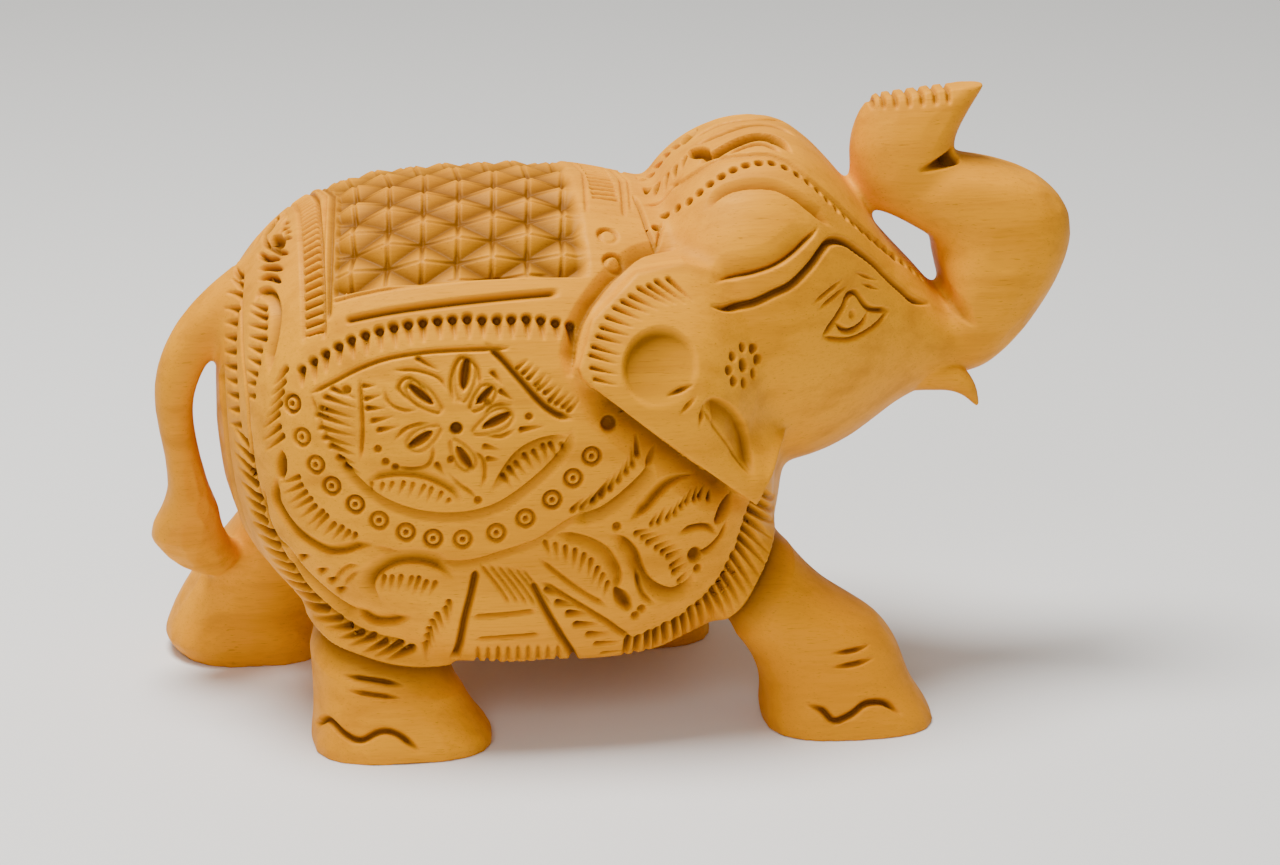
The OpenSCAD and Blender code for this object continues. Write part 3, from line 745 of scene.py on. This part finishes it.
def carve_saddle(c):
    """The lattice of low pyramids, the bars round it, the milled bands, and two crescents."""
    x, y, z = c.points.T
    around, high = GIRTH * np.abs(np.arctan2(y, z - AXIS)), z > LOWEST
    on_barrel = (x > -56) & (x < 3) & (around < 34) & high
    lean = x + 0.1 * around
    inside = ramp(lean, -45.6, -44.8) * (1 - ramp(x, -9, -6.5)) * (1 - ramp(around, 28.2, 28.8)) * on_barrel
    u, v = (x + 38.3 + 0.12 * (around - 16)) / COLUMN, (around - 16.4) / (2 * ROW)  # whole at a crossing

    def line(value, across, width, depth):
        """Height of parallel V cuts where value is whole, across being its change per mm."""
        distance = np.abs(value - np.round(value)) / across
        return -depth * np.clip(1 - distance / (width / 2), 0, 1)

    slope = math.hypot(1 / COLUMN, 0.5 / ROW)
    facets = np.minimum(line(u + v, slope, 1 / slope, 1.7), line(u - v, slope, 1 / slope, 1.7))
    fine = np.minimum(line(2 * u, 2 / COLUMN, 0.9, 0.6), line(2 * v, 1 / ROW, 0.8, 0.45))
    c.hollow = np.minimum(c.hollow, inside * facets)
    c.cut = np.minimum(c.cut, inside * fine)

    def bar(position, centre, width, depth, start, end, along):
        """Height of one V cut where position is centre, from start to end in along."""
        span = ramp(along, start - 0.5, start + 0.5) * (1 - ramp(along, end - 1, end + 1))
        return -depth * span * np.clip(1 - np.abs(position - centre) / (width / 2), 0, 1)

    for cut in [
        bar(lean, -45.8, 1.6, 1.1, -1, 32, around),
        bar(lean, -46.9, 0.8, 0.45, -1, 32, around),
        bar(around + 0.05 * (x + 30), 28.6, 0.9, 0.5, -48, -14, x),
        bar(around + 0.06 * (x + 30), 32.3, 1.7, 1.2, -46, -13, x),
        bar(lean, -4.6, 0.8, 0.5, -1, 15, around),
        bar(lean, 1.6, 1.0, 0.6, -1, 15, around),
        bar(lean, 2.8, 0.7, 0.4, -1, 13, around),
    ]:
        c.cut = np.minimum(c.cut, cut * high)
    # The milled bands before and behind the lattice.
    upright = x + 0.04 * around
    for centre, half, end in ((-49.9, 1.4, 34.5), (-2, 2.1, 11)):
        band = (np.abs(upright - centre) < half) & (around < end) & high
        notch = line((around + 0.1 * (x - centre)) / 1.8, 1 / 1.8, 1.3, 1.0)
        c.cut = np.minimum(c.cut, np.where(band, notch, 0))
    for edge, depth in ((-51.4, 0.5), (-48.3, 1.0)):
        c.cut = np.minimum(c.cut, bar(upright, edge, 0.9, depth, -1, 35, around) * high)
    for at in [(-3.3, 83), (-3, 79.8)]:
        c.crescent(at, 1.5, 1.0)


# ---------------------------------------------------------------- the figure, cut into its pieces
SKIRT = 2.5  # mm that a piece's border goes into the wood


def carved_figure():
    """Points, quads and depth of carving of the whole figure."""
    parts = joined([plain_body(), ear(-1), ear(1), tusk(-1), tusk(1)])
    points, quads = remeshed(*parts, FINE)
    smoother = Smoother(len(points), quads)
    surface = remeshed(*parts, 0.8)  # a coarser skin is enough to find where the strokes fall
    carver = Carver(smoother.smooth(points, 3), quads, surface)
    for carve in (
        carve_hem, carve_medallion, carve_punched_bands, carve_rear_scrolls, carve_centre_panel,
        carve_front_leaves, carve_borders, carve_haunch, carve_head, carve_ears, carve_feet, carve_trunk,
        carve_facets, carve_saddle,
    ):
        carve(carver)
    points, depth = carver.carved()
    return smoother.smooth(points, 1, 0.2), quads, depth


def parts_of(points, quads):
    """For each quad the number of the CAD node that it lies on, with even borders between them."""
    meshes = [triangles_of(node) for node in NODES]
    owner = np.repeat(np.arange(len(NODES)), [len(tris) for _, tris in meshes])
    tree = BVHTree.FromPolygons(*joined(meshes))
    nearest = owner[[tree.find_nearest(point)[2] for point in points.tolist()]]
    smoother = Smoother(len(points), quads)
    votes = [smoother.smooth((nearest == part).astype(float), 8, 0.8) for part in range(len(NODES))]
    label = np.argmax(votes, axis=0)
    return label[quads[:, 0]]


def settled(part, quads, count, passes=12):
    """Labels of the quads, with no piece left touching itself at a single corner."""
    corners = quads.ravel()
    for _ in range(passes):
        uneven = np.zeros(count, bool)
        for number in np.unique(part):
            mine = quads[part == number]
            pairs = np.sort(edge_pairs(mine), axis=1)
            once, times = np.unique(pairs, axis=0, return_counts=True)
            ends = np.bincount(once[times == 1].ravel(), minlength=count)
            uneven |= ends > 2
        if not uneven.any():
            break
        first = np.full(count, len(NODES))
        np.minimum.at(first, corners, np.repeat(part, 4))
        touched = uneven[quads]
        for row in np.nonzero(touched.any(axis=1))[0]:
            part[row] = first[quads[row][touched[row]][0]]
    return part


def loops_of(border):
    """Closed rings of point numbers from directed border edges."""
    after, rings = dict(border.tolist()), []
    while after:
        ring = [next(iter(after))]
        while (step := after.pop(ring[-1])) != ring[0]:
            ring.append(step)
        rings.append(ring)
    return rings


def closed_piece(name, points, normals, depth, quads):
    """One piece of the skin. Each ring of its border goes SKIRT mm straight in and closes there in a
    cone, inside the wood."""
    used, local = np.unique(quads, return_inverse=True)
    local = local.reshape(-1, 4)
    pairs = edge_pairs(local)
    _, first, times = np.unique(np.sort(pairs, axis=1), axis=0, return_index=True, return_counts=True)
    body, facing = points[used], normals[used]
    faces, added, count = local.tolist(), [], len(used)
    for ring in loops_of(pairs[first[times == 1]]):
        inner = body[ring] - SKIRT * facing[ring]
        added += [inner, inner.mean(axis=0, keepdims=True)]
        size = len(ring)
        for i in range(size):
            j = (i + 1) % size
            faces += [[ring[j], ring[i], count + i, count + j], [count + j, count + i, count + size]]
        count += size + 1
    piece = mesh_object(name, np.vstack([body] + added), faces)
    mesh = piece.data
    mesh.shade_smooth()
    hidden = count - len(used)
    mesh.normals_split_custom_set_from_vertices(np.vstack([facing,
            np.tile([0, 0, 1], (hidden, 1))]).tolist())
    # The carving depth, which the wood's material turns into painted shade in the cuts.
    cut = mesh.attributes.new("cut", "FLOAT", "POINT")
    cut.data.foreach_set("value", np.append(-depth[used], np.zeros(hidden)).astype(np.float32))
    return piece


def pieces_of_figure():
    """Makes the closed pieces, each in place of its CAD node."""
    points, quads, depth = carved_figure()
    normals = normals_of(points, quads)
    part = settled(parts_of(points, quads), quads, len(points))
    finish = wood()
    for number, node in enumerate(NODES):
        piece = closed_piece("carved_" + node, points, normals, depth, quads[part == number])
        piece.data.materials.append(finish)
        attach(piece, "root")
        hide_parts(node)


# ---------------------------------------------------------------- finish
HONEY = (0.83, 0.34, 0.0002, 1)
AMBER = (0.70, 0.257, 0.0002, 1)
RING = (0.49, 0.164, 0.0002, 1)
# Dark brown for the wood's real pores, and for the painted shade in the carved cuts.
PORE_AND_CUT_SHADE = (0.09, 0.021, 0.0002, 1)
GOLD_GLINT = (1, 0.7, 0.35, 1)
PALE = (0.82, 0.81, 0.78, 1)


def new_material(name):
    """A material, its Principled shader and its node tree."""
    material = bpy.data.materials.new(name)
    material.use_nodes = True
    return material, material.node_tree.nodes["Principled BSDF"], material.node_tree


class Nodes:
    """Short calls that add nodes to a material's tree."""

    def __init__(self, tree):
        self.nodes, self.link = tree.nodes, tree.links.new
        self.place = self.nodes.new("ShaderNodeTexCoord").outputs["Object"]

    def add(self, kind, **values):
        made = self.nodes.new(kind)
        for name, value in values.items():
            made.inputs[name.replace("_", " ")].default_value = value
        return made

    def noise(self, scale, detail, roughness=0.5):
        """Noise with its own scale along each axis of the object."""
        stretched = self.add("ShaderNodeMapping", Scale=scale)
        made = self.add("ShaderNodeTexNoise", Scale=1.0, Detail=detail, Roughness=roughness)
        self.link(self.place, stretched.inputs["Vector"])
        self.link(stretched.outputs["Vector"], made.inputs["Vector"])
        return made.outputs["Fac"]

    def span(self, value, low, high, to_low=0.0, to_high=1.0):
        """A value between low and high, carried over to another range."""
        made = self.add("ShaderNodeMapRange", From_Min=low, From_Max=high, To_Min=to_low, To_Max=to_high)
        self.link(value, made.inputs["Value"])
        return made.outputs["Result"]

    def blend(self, share, a, b):
        """Colour a, with a share of colour b over it."""
        made = self.nodes.new("ShaderNodeMix")
        made.data_type = "RGBA"
        for socket, value in (("Factor", share), ("A", a), ("B", b)):
            target = [i for i in made.inputs if i.name == socket and i.enabled][0]
            if isinstance(value, bpy.types.NodeSocket):
                self.link(value, target)
            else:
                target.default_value = value
        return [o for o in made.outputs if o.enabled][0]


def wood():
    """Honey-coloured wood with a satin finish, its grain along X, and painted shade that darkens the cuts.
    """
    material, shader, tree = new_material("wood")
    nodes = Nodes(tree)
    clouds = nodes.noise((6, 22, 22), 3)
    rings = nodes.noise((18, 260, 260), 4, 0.6)
    fibre = nodes.noise((90, 2600, 2600), 3, 0.6)
    pores = nodes.noise((260, 5200, 5200), 2)
    cut = nodes.add("ShaderNodeAttribute")
    cut.attribute_name = "cut"
    colour = nodes.blend(nodes.span(clouds, 0.35, 0.65), HONEY, AMBER)
    for value, low, high, share, darker in (
        (rings, 0.45, 0.72, 0.55, RING), (fibre, 0.5, 0.75, 0.3, RING), (pores, 0.64, 0.72, 0.35, PORE_AND_CUT_SHADE),
        # Painted shade: the deeper a place is carved, the darker it is coloured.
        (cut.outputs["Fac"], 0.15, 1.2, 0.85, PORE_AND_CUT_SHADE),
    ):
        colour = nodes.blend(nodes.span(value, low, high, 0, share), colour, darker)
    bump = nodes.add("ShaderNodeBump", Strength=0.35, Distance=0.00012)
    nodes.link(fibre, bump.inputs["Height"])
    nodes.link(colour, shader.inputs["Base Color"])
    nodes.link(nodes.span(rings, 0.3, 0.7, 0.48, 0.62), shader.inputs["Roughness"])
    nodes.link(bump.outputs["Normal"], shader.inputs["Normal"])
    shader.inputs["Specular IOR Level"].default_value = 0.25
    shader.inputs["Specular Tint"].default_value = GOLD_GLINT
    return material


def matt(name, colour):
    """An even colour without shine."""
    material, shader, _ = new_material(name)
    shader.inputs["Base Color"].default_value = colour
    shader.inputs["Roughness"].default_value = 0.8
    return material


# ---------------------------------------------------------------- studio and camera, in metres
def floor():
    """A plain pale floor, on which the figure stands."""
    bpy.ops.mesh.primitive_plane_add(size=6, location=(0, 0, 0))
    ground = bpy.context.object
    ground.name = "floor"
    ground.data.materials.append(matt("floor", PALE))


def soft_light(name, place, size, power, aim=(0, 0, 0.04)):
    """A round area light."""
    light = bpy.data.lights.new(name, "AREA")
    light.shape, light.size, light.energy = "DISK", size, power
    lamp = bpy.data.objects.new(name, light)
    bpy.context.scene.collection.objects.link(lamp)
    lamp.location = place
    lamp.rotation_euler = (Vector(aim) - Vector(place)).to_track_quat("-Z", "Y").to_euler()


def studio():
    """Soft light from above, a little from the front, and some from all round."""
    world = bpy.data.worlds.new("studio")
    bpy.context.scene.world = world
    world.use_nodes = True
    around = world.node_tree.nodes["Background"].inputs
    around["Color"].default_value = (1, 0.99, 0.97, 1)
    around["Strength"].default_value = 0.32
    soft_light("overhead", (-0.15, 0, 0.7), size=0.35, power=8.5)
    soft_light("front", (-0.25, -0.8, 0.55), size=0.5, power=3)


def camera():
    """The photograph's angle: a little from the head's side and from above, through a long lens."""
    yaw, dip = math.radians(8), math.radians(18)
    distance, target = 0.82, Vector((0.003, -0.0123, 0.047))
    way = Vector((math.sin(yaw) * math.cos(dip), math.cos(yaw) * math.cos(dip), -math.sin(dip)))
    lens = bpy.data.cameras.new("camera")
    lens.lens, lens.sensor_width, lens.clip_start = 140.6, 36, 0.01
    eye = bpy.data.objects.new("camera", lens)
    bpy.context.scene.collection.objects.link(eye)
    eye.location = target - distance * way
    eye.rotation_euler = way.to_track_quat("-Z", "Y").to_euler()
    bpy.context.scene.camera = eye


pieces_of_figure()
floor()
studio()
camera()
